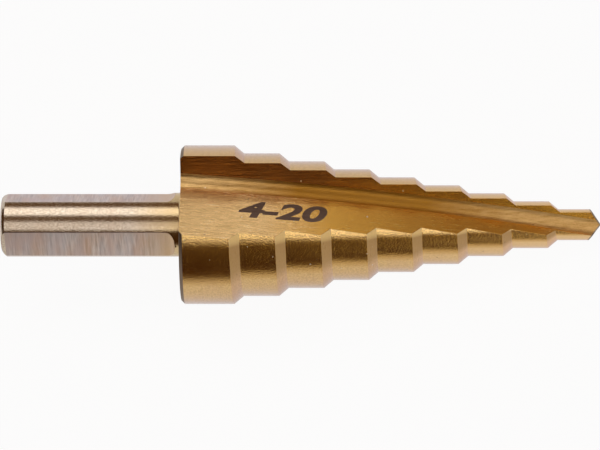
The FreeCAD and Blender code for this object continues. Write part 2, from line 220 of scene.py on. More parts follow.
class SkinTree:
    """A Geometry Nodes tree over a grid of rows and columns, with named sizes."""

    def __init__(self, name, sizes, rows, columns):
        self.tree = bpy.data.node_groups.new(name, "GeometryNodeTree")
        self.sizes = sizes
        sockets = self.tree.interface
        sockets.new_socket("Geometry", in_out="OUTPUT", socket_type="NodeSocketGeometry")
        for label in sizes:
            sockets.new_socket(label, in_out="INPUT", socket_type="NodeSocketFloat")
        self.inputs = self.tree.nodes.new("NodeGroupInput")
        grid = self.tree.nodes.new("GeometryNodeMeshGrid")
        for axis, count in (("X", rows), ("Y", columns)):
            grid.inputs["Vertices " + axis].default_value = count
            grid.inputs["Size " + axis].default_value = count - 1
        self.geometry = grid.outputs["Mesh"]
        place = self.tree.nodes.new("GeometryNodeInputPosition")
        split = self.tree.nodes.new("ShaderNodeSeparateXYZ")
        self.tree.links.new(place.outputs[0], split.inputs[0])
        self.row = Number(self.tree, split.outputs["X"]) + (rows - 1) / 2
        self.column = Number(self.tree, split.outputs["Y"]) + (columns - 1) / 2

    def size(self, label):
        return Number(self.tree, self.inputs.outputs[label])

    def paint(self, material, selection=None):
        """Gives faces a material, all of them or those where the selection is one."""
        node = self.tree.nodes.new("GeometryNodeSetMaterial")
        node.inputs["Material"].default_value = material
        self.tree.links.new(self.geometry, node.inputs["Geometry"])
        if selection:
            self.tree.links.new(selection.socket, node.inputs["Selection"])
        self.geometry = node.outputs["Geometry"]

    def finish(self, name, x, y, z):
        """Moves the grid to its formula and returns the result as a plain mesh."""
        join = self.tree.nodes.new("ShaderNodeCombineXYZ")
        for place, value in enumerate((x, y, z)):
            self.tree.links.new(value.socket, join.inputs[place])
        move = self.tree.nodes.new("GeometryNodeSetPosition")
        self.tree.links.new(self.geometry, move.inputs["Geometry"])
        self.tree.links.new(join.outputs[0], move.inputs["Position"])
        weld = self.tree.nodes.new("GeometryNodeMergeByDistance")
        weld.inputs["Distance"].default_value = WELD
        self.tree.links.new(move.outputs["Geometry"], weld.inputs["Geometry"])
        real = self.tree.nodes.new("GeometryNodeRealizeInstances")
        self.tree.links.new(weld.outputs["Geometry"], real.inputs["Geometry"])
        output = self.tree.nodes.new("NodeGroupOutput")
        self.tree.links.new(real.outputs["Geometry"], output.inputs["Geometry"])
        carrier = add_object(name, bpy.data.meshes.new(name))
        modifier = carrier.modifiers.new("skin", "NODES")
        modifier.node_group = self.tree
        for socket in self.tree.interface.items_tree:
            if socket.in_out == "INPUT":
                modifier[socket.identifier] = self.sizes[socket.name]
        evaluated = carrier.evaluated_get(bpy.context.evaluated_depsgraph_get())
        mesh = bpy.data.meshes.new_from_object(evaluated)
        bpy.data.objects.remove(carrier)
        print(name, "has", len(mesh.vertices), "vertices")
        return mesh

# %% [markdown]
# ## Finishes
#
# All the finishes are metal, so what they show is mostly the studio around them. Their own
# detail is fine: grinding lines, a coating that is a little lighter or redder from place
# to place, small bright specks and dark pits. Each of these is a shader node group that
# every finish uses with its own values. Pictures could give the same detail, but they fit
# one size and one view, and nodes are measured in millimetres. Patterns are laid out in
# the drill's own axes, so that a line ground around the drill runs around it, and a line
# ground along a flute runs along it.

# %% Patterns in the drill's own axes
from_table = to_table.inverted()


def drill_coordinates(tree, stretch=(1.0, 1.0, 1.0), lean=0.0):
    """Place in the drill's own axes, in millimetres, stretched to suit a pattern."""
    place = tree.nodes.new("ShaderNodeTexCoord")
    turn = tree.nodes.new("ShaderNodeMapping")
    turn.inputs["Location"].default_value = from_table.translation / MM
    turn.inputs["Rotation"].default_value = from_table.to_euler()
    turn.inputs["Scale"].default_value = (1 / MM, 1 / MM, 1 / MM)
    tree.links.new(place.outputs["Object"], turn.inputs["Vector"])
    pull = tree.nodes.new("ShaderNodeMapping")
    pull.inputs["Rotation"].default_value = (0.0, lean, 0.0)
    pull.inputs["Scale"].default_value = stretch
    tree.links.new(turn.outputs["Vector"], pull.inputs["Vector"])
    return pull.outputs["Vector"]


class Effect:
    """A shader node group with named inputs and outputs, built once and used by many."""

    def __init__(self, name, inputs, outputs):
        self.tree = bpy.data.node_groups.new(name, "ShaderNodeTree")
        for label, value in inputs.items():
            kind = "NodeSocketVector" if value is None else "NodeSocketFloat"
            socket = self.tree.interface.new_socket(label, in_out="INPUT", socket_type=kind)
            if value is not None:
                socket.default_value = value
        for label in outputs:
            self.tree.interface.new_socket(label, in_out="OUTPUT", socket_type="NodeSocketFloat")
        self.source = self.tree.nodes.new("NodeGroupInput")
        self.sink = self.tree.nodes.new("NodeGroupOutput")
        print("effect", name)

    def value(self, label):
        return Number(self.tree, self.source.outputs[label])

    def noise(self, scale, detail, roughness):
        """A soft noise over the group's vector."""
        node = self.tree.nodes.new("ShaderNodeTexNoise")
        node.inputs["Detail"].default_value = detail
        node.inputs["Roughness"].default_value = roughness
        self.tree.links.new(self.source.outputs["Vector"], node.inputs["Vector"])
        self.tree.links.new(scale.socket, node.inputs["Scale"])
        return Number(self.tree, node.outputs["Fac"])

    def give(self, label, value):
        self.tree.links.new(value.socket, self.sink.inputs[label])


def clamp(value):
    """Keeps a number between zero and one."""
    return value.math("MAXIMUM", 0.0).math("MINIMUM", 1.0)


def ramp(value, low, high):
    """Rises from zero at low to one at high."""
    return clamp((value - low) / (high - low))


def spread(noise, contrast):
    """A noise spread around its middle, from zero to one."""
    return clamp((noise - 0.5) * contrast + 0.5)

# %% [markdown]
# Grinding leaves many fine scratches side by side, with a deeper one here and there. A
# noise that is squeezed across the lines and drawn out along them gives just that. One
# layer is coarse and one is fine.

# %% Grinding lines
TONE_LOW = 0.36
TONE_HIGH = 0.64


def make_grinding_lines():
    inputs = {"Vector": None, "Coarse": 1.0, "Fine": 6.0, "Fine Share": 0.5}
    effect = Effect("grinding_lines", inputs, ["Height", "Tone"])
    coarse = effect.noise(effect.value("Coarse"), detail=3.0, roughness=0.6)
    fine = effect.noise(effect.value("Fine"), detail=2.0, roughness=0.7)
    share = effect.value("Fine Share")
    height = coarse * (1 - share) + fine * share
    effect.give("Height", height)
    effect.give("Tone", ramp(height, TONE_LOW, TONE_HIGH))
    return effect.tree


grinding_lines = make_grinding_lines()

# %% [markdown]
# The coating is thin, and its colour drifts between gold, straw and a reddish brown. The
# drift is broad and slow, so one large soft noise is enough for it.

# %% Drift of the coating's colour
DRIFT_CONTRAST = 2.4


def make_coating_drift():
    effect = Effect("coating_drift", {"Vector": None, "Size": 3.0, "Contrast": 1.0}, ["Drift"])
    drift = effect.noise(1 / effect.value("Size"), detail=4.0, roughness=0.55)
    effect.give("Drift", spread(drift, effect.value("Contrast") * DRIFT_CONTRAST))
    return effect.tree


coating_drift = make_coating_drift()

# %% [markdown]
# The coating isn't smooth under a lens: it has a fine grain, which makes the edge of each
# reflection crumble and sparkle a little.

# %% Grain of the coating
GRAIN_CONTRAST = 3.0


def make_coating_grain():
    inputs = {"Vector": None, "Size": 0.2, "Contrast": 1.0}
    effect = Effect("coating_grain", inputs, ["Height", "Tone"])
    grain = effect.noise(1 / effect.value("Size"), detail=2.0, roughness=0.6)
    effect.give("Height", grain)
    effect.give("Tone", spread(grain, effect.value("Contrast") * GRAIN_CONTRAST))
    return effect.tree


coating_grain = make_coating_grain()

# %% [markdown]
# Small bright specks lie where the coating has chipped, and dark pits where the steel
# has. Both could be scattered as tiny meshes, but at this size a pattern will do: they are
# the centres of the cells of a Voronoi pattern, kept only where a random number of the
# cell is low enough.

# %% Specks and pits
SMALLEST_SPECK = 0.4
SPECK_SHARPNESS = 3.0


def make_specks():
    inputs = {"Vector": None, "Cells": 1.0, "Radius": 0.1, "Share": 0.1}
    effect = Effect("specks", inputs, ["Mask"])
    tree = effect.tree
    cells = tree.nodes.new("ShaderNodeTexVoronoi")
    tree.links.new(effect.source.outputs["Vector"], cells.inputs["Vector"])
    tree.links.new(effect.value("Cells").socket, cells.inputs["Scale"])
    split = tree.nodes.new("ShaderNodeSeparateColor")
    tree.links.new(cells.outputs["Color"], split.inputs["Color"])
    chance, growth = (Number(tree, split.outputs[name]) for name in ("Red", "Green"))
    kept = chance.math("LESS_THAN", effect.value("Share"))
    size = effect.value("Radius") * (growth + SMALLEST_SPECK)
    near = ((size - Number(tree, cells.outputs["Distance"])) / size).math("MAXIMUM", 0.0)
    effect.give("Mask", (near * SPECK_SHARPNESS).math("MINIMUM", 1.0) * kept)
    return tree


specks = make_specks()

# %% [markdown]
# A finish joins these effects to a metal shader. Its colour runs from a dark tone in the
# deep lines to a light one on the ridges, and shifts toward a second hue where the
# coating drifts. The edge tint is the colour of the metal at a glancing angle, where
# this coating turns from gold to a pale mauve.

# %% A ground and coated finish
DULLNESS = 0.8


class Finish:
    """A metal material with grinding lines, a drifting colour, specks and pits."""

    def __init__(self, name, roughness, edge_tint):
        self.material = bpy.data.materials.new(name)
        self.material.use_nodes = True
        self.tree = self.material.node_tree
        self.shader = self.tree.nodes["Principled BSDF"]
        self.shader.inputs["Metallic"].default_value = 1
        self.shader.inputs["Specular Tint"].default_value = (*edge_tint, 1)
        self.roughness = roughness

    def coat(self, weight, roughness):
        """A clear film over the metal, which turns pale at a glancing angle."""
        self.shader.inputs["Coat Weight"].default_value = weight
        self.shader.inputs["Coat Roughness"].default_value = roughness

    def split(self, vector):
        """The three parts of a vector, each as a number."""
        node = self.tree.nodes.new("ShaderNodeSeparateXYZ")
        self.tree.links.new(vector, node.inputs[0])
        return [Number(self.tree, part) for part in node.outputs]

    def along(self, vector, start, end):
        """Rises from zero to one between two places along the drill, in millimetres."""
        return ramp(self.split(vector)[0], start, end)

    def around(self, vector, turn, edge, core):
        """One around a direction square to the drill and around its opposite, else zero."""
        _, y, z = self.split(vector)
        toward = (y * math.sin(turn) + z * math.cos(turn)).math("ABSOLUTE")
        return ramp(toward / root(y * y + z * z), math.cos(edge), math.cos(core))

    def dull(self, mask):
        """Takes the shine off where the mask is one, as on dust or a chip."""
        metal = 1 - mask * DULLNESS
        self.tree.links.new(metal.socket, self.shader.inputs["Metallic"])

    def effect(self, group, vector, **values):
        """Places a shared effect with its own values, and gives its outputs by name."""
        node = self.tree.nodes.new("ShaderNodeGroup")
        node.node_tree = group
        self.tree.links.new(vector, node.inputs["Vector"])
        for label, value in values.items():
            node.inputs[label.replace("_", " ")].default_value = value
        return {output.name: Number(self.tree, output) for output in node.outputs}

    def mix(self, factor, first, second):
        """Mixes two colours, each a plain colour or the output of an earlier mix."""
        node = self.tree.nodes.new("ShaderNodeMix")
        node.data_type = "RGBA"
        self.tree.links.new(factor.socket, node.inputs["Factor"])
        for socket, color in zip(node.inputs[6:8], (first, second)):
            if isinstance(color, bpy.types.NodeSocket):
                self.tree.links.new(color, socket)
            else:
                socket.default_value = (*color, 1)
        return node.outputs[2]

    def finish(self, color, tone, height, depth, rough_spread):
        """Joins a colour, the tone that makes it rougher or smoother, and a relief."""
        self.tree.links.new(color, self.shader.inputs["Base Color"])
        rough = tone * rough_spread + (self.roughness - rough_spread / 2)
        self.tree.links.new(rough.socket, self.shader.inputs["Roughness"])
        bump = self.tree.nodes.new("ShaderNodeBump")
        bump.inputs["Distance"].default_value = depth
        self.tree.links.new(height.socket, bump.inputs["Height"])
        self.tree.links.new(bump.outputs["Normal"], self.shader.inputs["Normal"])
        print("finish", self.material.name)
        return self.material

# %% [markdown]
# The lands are the round outsides of the steps, and the cones join one land to the next.
# Both are ground while the drill turns, so their lines run around it. Each land could have
# a material of its own, but one finish serves them all, because its patterns read the
# drill's own axes and not the mesh. It also paints light and shade into the colour: a
# painted shade of deeper gold behind each heel, a painted highlight as a paler line along
# the heel, and painted light as a lighter gold toward the tip. The cones are rougher and a
# little duller than the lands.

# %% The lands and cones, ground around the drill
GOLD_EDGE = (0.85, 0.85, 1.0)
AROUND = (2.6, 0.10, 0.10)
# The turn around the drill of the painted shade behind each heel.
PAINTED_SHADE_TURN = math.radians(-53)
# The turn and the gold of the painted highlight along each heel.
HEEL_HIGHLIGHT_TURN = math.radians(-34)
PAINTED_HEEL_HIGHLIGHT_GOLD = (0.88, 0.61, 0.23)
LAND_SPECK = (0.85, 0.72, 0.50)
LAND_PIT = (0.20, 0.11, 0.05)


def make_land_finish(name, roughness, tint, painted_shading_gold):
    def tinted(*color):
        return [part * share for part, share in zip(color, tint)]

    finish = Finish(name, roughness, edge_tint=GOLD_EDGE)
    finish.coat(weight=0.5, roughness=0.25)
    lines_at = drill_coordinates(finish.tree, AROUND)
    plain = drill_coordinates(finish.tree)
    lines = finish.effect(grinding_lines, lines_at, Coarse=1.6, Fine=7.0, Fine_Share=0.6)
    grain = finish.effect(coating_grain, plain, Size=0.22, Contrast=1.6)
    drift = finish.effect(coating_drift, plain, Size=2.5, Contrast=1.0)
    bright = finish.effect(specks, plain, Cells=1.3, Radius=0.13, Share=0.08)
    pits = finish.effect(specks, plain, Cells=1.9, Radius=0.16, Share=0.08)
    # Painted light: the gold turns lighter toward the tip.
    painted_light_near_tip = finish.along(plain, 45.0, 68.0)
    # Painted shade: a deeper gold behind each heel, at a fixed turn around the drill.
    painted_shade_behind_heel = finish.around(plain, PAINTED_SHADE_TURN, math.radians(23), math.radians(10))
    # Painted highlight: a paler gold line along each heel.
    painted_heel_highlight = finish.around(plain, HEEL_HIGHLIGHT_TURN, math.radians(8), math.radians(2))
    gold = finish.mix(lines["Tone"], tinted(0.50, 0.315, 0.105), tinted(0.62, 0.405, 0.15))
    gold = finish.mix(grain["Tone"] * 0.7, gold, tinted(0.74, 0.49, 0.20))
    gold = finish.mix(drift["Drift"] * 0.5, gold, tinted(0.59, 0.365, 0.17))
    gold = finish.mix(painted_light_near_tip * 0.65, gold, tinted(0.82, 0.55, 0.27))
    gold = finish.mix(painted_shade_behind_heel * 0.8, gold, painted_shading_gold)
    gold = finish.mix(painted_heel_highlight * 0.6, gold, PAINTED_HEEL_HIGHLIGHT_GOLD)
    gold = finish.mix(bright["Mask"] * 0.8, gold, LAND_SPECK)
    gold = finish.mix(pits["Mask"] * 0.7, gold, LAND_PIT)
    finish.dull(bright["Mask"])
    relief = lines["Height"] * 0.4 + grain["Height"]
    return finish.finish(
        gold, lines["Tone"], relief,
        depth=0.028 * MM, rough_spread=0.06,
    )


land_finish = make_land_finish(
    "land_gold", roughness=0.205, tint=(1.0, 1.0, 1.0), painted_shading_gold=(0.52, 0.265, 0.03)
)
cone_finish = make_land_finish(
    "cone_gold", roughness=0.30, tint=(0.94, 0.88, 0.97), painted_shading_gold=(0.36, 0.205, 0.06)
)

# %% [markdown]
# A flute is ground along the drill, so its lines run that way, leaning a little as the
# flute does. Its floor, its rounded corner and its rake face have each their own gold on
# the real drill, so one function makes three finishes. Each has a gold in the lines, one
# on the ridges and one where the coating drifts. A painted gold, which stands for light
# and shade along the drill, comes in along one stretch of the drill and fades along
# another: painted shade on the corner, painted light on the rake face, and a deeper
# orange on the floor.

# %% The flutes, ground along the drill
ALONG = (0.20, 2.6, 2.6)
FLUTE_LEAN = math.radians(5.0)
# How much of the painted light and shade goes into a flute's gold, and how much of it fades.
PAINTED_SHADING_SHARE = 0.92
PAINTED_SHADING_FADE = 0.75
FLUTE_SPECK = (0.90, 0.74, 0.50)
FLUTE_PIT = (0.20, 0.10, 0.04)


def make_flute_finish(name, roughness, lines_gold, ridge_gold, drift_gold, painted_shading_gold, comes, fades):
    finish = Finish(name, roughness, edge_tint=GOLD_EDGE)
    finish.coat(weight=0.08, roughness=0.3)
    lines_at = drill_coordinates(finish.tree, ALONG, FLUTE_LEAN)
    plain = drill_coordinates(finish.tree)
    lines = finish.effect(grinding_lines, lines_at, Coarse=1.0, Fine=2.8, Fine_Share=0.5)
    grain = finish.effect(coating_grain, plain, Size=0.16, Contrast=1.2)
    drift = finish.effect(coating_drift, plain, Size=4.0, Contrast=1.0)
    bright = finish.effect(specks, plain, Cells=1.1, Radius=0.12, Share=0.10)
    pits = finish.effect(specks, plain, Cells=1.6, Radius=0.16, Share=0.08)
    # Painted light and shade along the drill: where the painted gold comes in and fades.
    stretch = finish.along(plain, *comes) * (1 - finish.along(plain, *fades) * PAINTED_SHADING_FADE)
    gold = finish.mix(lines["Tone"], lines_gold, ridge_gold)
    gold = finish.mix(grain["Tone"] * 0.35, gold, ridge_gold)
    gold = finish.mix(drift["Drift"] * 0.4, gold, drift_gold)
    gold = finish.mix(stretch * PAINTED_SHADING_SHARE, gold, painted_shading_gold)
    gold = finish.mix(bright["Mask"] * 0.8, gold, FLUTE_SPECK)
    gold = finish.mix(pits["Mask"] * 0.6, gold, FLUTE_PIT)
    finish.dull(bright["Mask"])
    relief = lines["Height"] + grain["Height"] * 0.4
    return finish.finish(
        gold, lines["Tone"], relief,
        depth=0.035 * MM, rough_spread=0.08,
    )


floor_finish = make_flute_finish(
    "flute_gold", roughness=0.24,
    lines_gold=(0.41, 0.25, 0.08), ridge_gold=(0.86, 0.60, 0.29), drift_gold=(0.74, 0.50, 0.22),
    painted_shading_gold=(0.62, 0.345, 0.055), comes=(33.0, 41.0), fades=(66.0, 74.0),
)
corner_finish = make_flute_finish(
    "corner_gold", roughness=0.33,
    lines_gold=(0.36, 0.20, 0.055), ridge_gold=(0.88, 0.60, 0.26), drift_gold=(0.68, 0.40, 0.13),
    painted_shading_gold=(0.34, 0.15, 0.01), comes=(26.0, 37.0), fades=(53.0, 65.0),
)
rake_finish = make_flute_finish(
    "rake_gold", roughness=0.22,
    lines_gold=(0.31, 0.125, 0.025), ridge_gold=(0.60, 0.29, 0.075), drift_gold=(0.48, 0.195, 0.04),
    painted_shading_gold=(0.68, 0.34, 0.04), comes=(38.0, 50.0), fades=(72.0, 76.0),
)

# %% [markdown]
# The lip of the point is bare steel, and the rim at the back of the head is dark where the
# coating is thin. Both are narrow, so grinding lines between two colours are enough.

# %% The point and the back rim, where the coating is thin
def make_rim_finish(name, roughness, light, dark):
    finish = Finish(name, roughness, edge_tint=(0.9, 0.85, 0.8))
    lines_at = drill_coordinates(finish.tree, AROUND)
    lines = finish.effect(grinding_lines, lines_at, Coarse=1.2, Fine=5.0, Fine_Share=0.5)
    steel = finish.mix(lines["Tone"], dark, light)
    return finish.finish(
        steel, lines["Tone"], lines["Height"],
        depth=0.004 * MM, rough_spread=0.08,
    )


flank_finish = make_rim_finish(
    "point_steel", roughness=0.35, light=(0.40, 0.34, 0.28), dark=(0.24, 0.18, 0.13)
)
rim_finish = make_rim_finish(
    "rim_steel", roughness=0.4, light=(0.22, 0.16, 0.12), dark=(0.12, 0.085, 0.06)
)

# %% [markdown]
# The shank has no coating. It is ground round, and the heat of coating the head has left
# it a warm grey that turns to straw near the head. A plain grey metal would look like
# chrome, so it gets a grain that is drawn out a little along the bar, which breaks the
# long reflections up.

# %% The shank: bright steel with a breath of the coating's heat
DRAWN_OUT = (0.55, 1.0, 1.0)
STEEL_PIT = (0.20, 0.13, 0.08)


def make_shank_finish():
    finish = Finish("shank_steel", 0.18, edge_tint=(0.95, 0.95, 1.0))
    lines_at = drill_coordinates(finish.tree, AROUND)
    drawn_at = drill_coordinates(finish.tree, DRAWN_OUT)
    plain = drill_coordinates(finish.tree)
    lines = finish.effect(grinding_lines, lines_at, Coarse=2.4, Fine=9.0, Fine_Share=0.6)
    grain = finish.effect(coating_grain, drawn_at, Size=0.15, Contrast=1.3)
    drift = finish.effect(coating_drift, plain, Size=3.0, Contrast=1.2)
    pits = finish.effect(specks, plain, Cells=1.6, Radius=0.14, Share=0.05)
    near_head = finish.along(plain, 16.0, 22.0)
    steel = finish.mix(lines["Tone"], (0.42, 0.35, 0.265), (0.56, 0.475, 0.37))
    steel = finish.mix(grain["Tone"] * 0.75, steel, (0.72, 0.62, 0.51))
    steel = finish.mix(drift["Drift"] * 0.4, steel, (0.55, 0.42, 0.29))
    steel = finish.mix(near_head * 0.7, steel, (0.60, 0.42, 0.17))
    steel = finish.mix(pits["Mask"] * 0.6, steel, STEEL_PIT)
    return finish.finish(
        steel, lines["Tone"], grain["Height"],
        depth=0.011 * MM, rough_spread=0.08,
    )


shank_finish = make_shank_finish()

# %% [markdown]
# The three flats are ground across the shank, with coarser lines, and heat has stained
# them brown and blue-grey in patches. One drift would make the patches look like a
# pattern, so two of different sizes lie over each other.

# %% The chuck flats, ground across, with stains of heat
ACROSS = (3.4, 0.22, 0.22)
STAINED = (1.0, 0.35, 0.35)


def make_flat_finish():
    finish = Finish("flat_steel", 0.33, edge_tint=(0.95, 0.93, 1.0))
    lines_at = drill_coordinates(finish.tree, ACROSS)
    stains_at = drill_coordinates(finish.tree, STAINED)
    plain = drill_coordinates(finish.tree)
    lines = finish.effect(grinding_lines, lines_at, Coarse=0.8, Fine=1.6, Fine_Share=0.5)
    brown = finish.effect(coating_drift, stains_at, Size=1.6, Contrast=1.6)
    blue = finish.effect(coating_drift, stains_at, Size=2.3, Contrast=1.4)
    near_head = finish.along(plain, 17.0, 20.5)
    steel = finish.mix(lines["Tone"], (0.35, 0.275, 0.225), (0.68, 0.59, 0.52))
    steel = finish.mix(brown["Drift"] * 0.55, steel, (0.56, 0.34, 0.22))
    steel = finish.mix(blue["Drift"] * 0.35, steel, (0.50, 0.47, 0.52))
    steel = finish.mix(near_head * 0.7, steel, (0.60, 0.41, 0.22))
    return finish.finish(
        steel, lines["Tone"], lines["Height"],
        depth=0.010 * MM, rough_spread=0.08,
    )


flat_finish = make_flat_finish()

# %% [markdown]
# ## The head
#
# A step drill is a stack of short cylinders joined by cones, with two flutes ground along
# it. Around the axis, half a turn holds four stretches: the floor of a flute, the rounded
# corner, the flat rake face, and the land that runs from the cutting edge to the heel. The
# columns of the grid are dealt out to these stretches, so that an edge of the drill is
# always an edge of the mesh. Each land is turned about a slightly shifted centre, which
# makes it fall away behind its cutting edge. The other half turn is the same, turned round.

# %% Sizes of the head
STEPS = 9
ROWS_PER_STEP = 7
FLOOR_COLUMNS = 14
CORNER_COLUMNS = 12
RAKE_COLUMNS = 10
LAND_COLUMNS = 72
PAST_TIP = 1.0 * MM

shank_length = 22.4 * MM
first_front = shank_length + 6.6 * MM
step_pitch = 5.62 * MM
tip = first_front + (STEPS - 2) * step_pitch + 6.66 * MM
rake_angle = math.radians(35.0)
cone_length = 1.0 * MM / math.tan(math.radians(40.0))
corner_back = 6.36 * MM
corner_front = -0.46 * MM
flute_arc = 500.0 * MM
arc_rise = corner_front - corner_back
arc_run = tip - shank_length
arc_chord = math.hypot(arc_rise, arc_run)
arc_height = math.sqrt(flute_arc ** 2 - arc_chord ** 2 / 4)

head_sizes = {
    "Largest Diameter": 20.0 * MM,
    "Diameter Step": 2.0 * MM,
    "Shank Length": shank_length,
    "First Front": first_front,
    "Step Pitch": step_pitch,
    "Cone Length": cone_length,
    "Back Chamfer": 0.42 * MM,
    "Last Front": tip + PAST_TIP,
    "Relief Offset": 0.15 * MM,
    "Front Relief": 0.34 * MM,
    "Land Turn": math.radians(111.0),
    "Relief Datum": math.radians(30.0),
    "Rake Angle": rake_angle,
    "Rake Offset": 0.39 * MM,
    "Flute Tilt": math.radians(16.5),
    "Flute Radius": 1.6 * MM,
    "Flute Arc": flute_arc,
    "Arc Centre Along": (shank_length + tip) / 2 + arc_height * arc_rise / arc_chord,
    "Arc Centre Out": (corner_back + corner_front) / 2 - arc_height * arc_run / arc_chord,
}
print("tip at", round(tip / MM, 2), "mm from the end of the shank")

# %% [markdown]
# Each row of the grid is a ring around the drill. The rows are dealt out to the steps, a
# few to each, and the first row makes the chamfer at the back. The front of a step isn't
# quite square to the drill: it falls back behind its cutting edge, so that only the edge
# cuts.

# %% Rows of the head: the stepped outline
FLUTE_COLUMNS = FLOOR_COLUMNS + CORNER_COLUMNS + RAKE_COLUMNS
HALF_COLUMNS = FLUTE_COLUMNS + LAND_COLUMNS
NUDGE = 0.0001


def part_of(skin, columns):
    """Which part of the turn a column belongs to, and its place within that part.

    The nudge keeps a whole number from being rounded to the one below it.
    """
    part = (skin.column / columns + NUDGE).math("FLOOR")
    return part, skin.column - part * columns


def step_profile(skin, index):
    """Place along the drill and land radius of each row."""
    first = skin.row.math("LESS_THAN", 0.5)
    step = ((skin.row - 1) / ROWS_PER_STEP).math("FLOOR").math("MAXIMUM", 0.0)
    within = (skin.row - 1 - step * ROWS_PER_STEP).math("MAXIMUM", 0.0)
    is_largest = step.math("LESS_THAN", 0.5)
    is_smallest = step.math("GREATER_THAN", STEPS - 1.5)
    front = skin.size("First Front") + step * skin.size("Step Pitch")
    start = front - skin.size("Step Pitch") + skin.size("Cone Length")
    start = choose(is_largest, skin.size("Shank Length") + skin.size("Back Chamfer"), start)
    front = choose(is_smallest, skin.size("Last Front"), front)
    place = start + (front - start) * within / (ROWS_PER_STEP - 1)
    behind_edge = (index - FLUTE_COLUMNS) / LAND_COLUMNS
    behind = skin.size("Land Turn") * behind_edge.math("MAXIMUM", 1 - index / FLUTE_COLUMNS)
    share = choose(is_largest, within / (ROWS_PER_STEP - 1), 1.0)
    retreat = skin.size("Front Relief") * (behind - skin.size("Relief Datum")) * share
    fall = skin.size("Relief Offset") * cosine(skin.size("Rake Angle"))
    radius = (skin.size("Largest Diameter") - step * skin.size("Diameter Step")) / 2 - fall
    chamfer = first * skin.size("Back Chamfer")
    return place - retreat - chamfer, radius - chamfer

# %% [markdown]
# Each column is a line along the drill. Within half a turn the columns walk along the
# floor of a flute, around its corner, up the rake face to the cutting edge, and over the
# land to the heel. The corner of the flute follows a long arc, from well out at the back
# to the middle of the drill at the tip, so that the web is thinnest there. The floor could
# be cut out of the steps by a boolean, but here its heel is simply where the floor's line
# meets the circle of the land.

# %% Columns of the head: half a turn
def head_section(skin, half, index, place, radius):
    """Where each column lies around the axis: along the rake face, and ahead of it."""
    side = 1 - 2 * half.math("MODULO", 2.0)
    rake = skin.size("Rake Angle")
    ahead = skin.size("Rake Offset")
    tilt = skin.size("Flute Tilt")
    rounding = skin.size("Flute Radius")
    drop = place - skin.size("Arc Centre Along")
    arc = skin.size("Flute Arc")
    corner = skin.size("Arc Centre Out") + root(arc * arc - drop * drop)
    half_opening = (math.pi / 2 + tilt) / 2
    centre_out = corner + rounding * cosine(half_opening) / sine(half_opening)
    centre_ahead = ahead + rounding
    foot_out = centre_out - rounding * cosine(tilt)
    foot_ahead = centre_ahead - rounding * sine(tilt)
    shift_out = skin.size("Relief Offset") * cosine(rake)
    shift_ahead = skin.size("Relief Offset") * sine(rake)

    from_out = foot_out + shift_out
    from_ahead = foot_ahead + shift_ahead
    lean = from_ahead * cosine(tilt) - from_out * sine(tilt)
    gap = from_out * from_out + from_ahead * from_ahead - radius * radius
    reach = root(lean * lean - gap) - lean
    heel_out = foot_out - reach * sine(tilt)
    heel_ahead = foot_ahead + reach * cosine(tilt)
    edge_drop = ahead - shift_ahead
    edge_out = shift_out + root(radius * radius - edge_drop * edge_drop)
    edge_angle = edge_drop.math("ARCTAN2", edge_out - shift_out)
    heel_angle = (-heel_ahead - shift_ahead).math("ARCTAN2", -heel_out - shift_out)

    def floor(share):
        ahead_now = heel_ahead + (foot_ahead - heel_ahead) * share
        return [heel_out + (foot_out - heel_out) * share, ahead_now]

    def rounded_corner(share):
        angle = tilt - math.pi + (math.pi / 2 - tilt) * share
        return [centre_out + rounding * cosine(angle), centre_ahead + rounding * sine(angle)]

    def rake_face(share):
        return [centre_out + (edge_out - centre_out) * share, ahead + share * 0.0]

    def land(share):
        angle = edge_angle + (heel_angle - edge_angle) * share
        return [shift_out + radius * cosine(angle), shift_ahead + radius * sine(angle)]

    out, forward = piecewise(index, [
        (FLOOR_COLUMNS, floor),
        (CORNER_COLUMNS, rounded_corner),
        (RAKE_COLUMNS, rake_face),
        (LAND_COLUMNS, land),
    ])
    y = (out * sine(rake) - forward * cosine(rake)) * side
    z = (out * cosine(rake) + forward * sine(rake)) * side
    return y, z

# %% [markdown]
# With its rows and columns known, the grid becomes the head. The columns also tell which
# finish a face gets, so that each finish ends exactly on an edge of the drill.

# %% The skin of the head
def make_head_skin():
    rows = 1 + STEPS * ROWS_PER_STEP
    skin = SkinTree("step_drill_head", head_sizes, rows, 2 * HALF_COLUMNS + 1)
    half, index = part_of(skin, HALF_COLUMNS)
    place, radius = step_profile(skin, index)
    y, z = head_section(skin, half, index, place, radius)
    skin.paint(floor_finish)
    on_land = index.math("GREATER_THAN", FLUTE_COLUMNS)
    on_corner = index.math("GREATER_THAN", FLOOR_COLUMNS)
    on_rake = index.math("GREATER_THAN", FLOOR_COLUMNS + CORNER_COLUMNS)
    within = (skin.row - 1).math("MODULO", ROWS_PER_STEP)
    skin.paint(corner_finish, on_corner)
    skin.paint(rake_finish, on_rake)
    skin.paint(land_finish, on_land)
    skin.paint(cone_finish, on_land * within.math("GREATER_THAN", ROWS_PER_STEP - 1))
    skin.paint(rim_finish, on_land * skin.row.math("LESS_THAN", 1.0))
    return skin.finish("head_skin", place, y, z)


head_skin = make_head_skin()

# %% [markdown]
# The skin of the head is still open at both ends. The back is closed with one flat face.
# The point is ground with two flat flanks, like the two sides of a roof. For each flank we
# cut the skin twice: the first cut marks off a narrow lip of bare steel, and the second
# takes away what lies beyond the flank. Then the cut is closed.

# %% Closing the back and grinding the point
POINT_ANGLE = math.radians(115.0)
POINT_RELIEFS = {1: math.radians(15.0), -1: math.radians(24.0)}
POINT_END = tip - 0.12 * MM
LIP_WIDTH = 0.16 * MM

lip_slope = 1 / math.tan(POINT_ANGLE / 2)


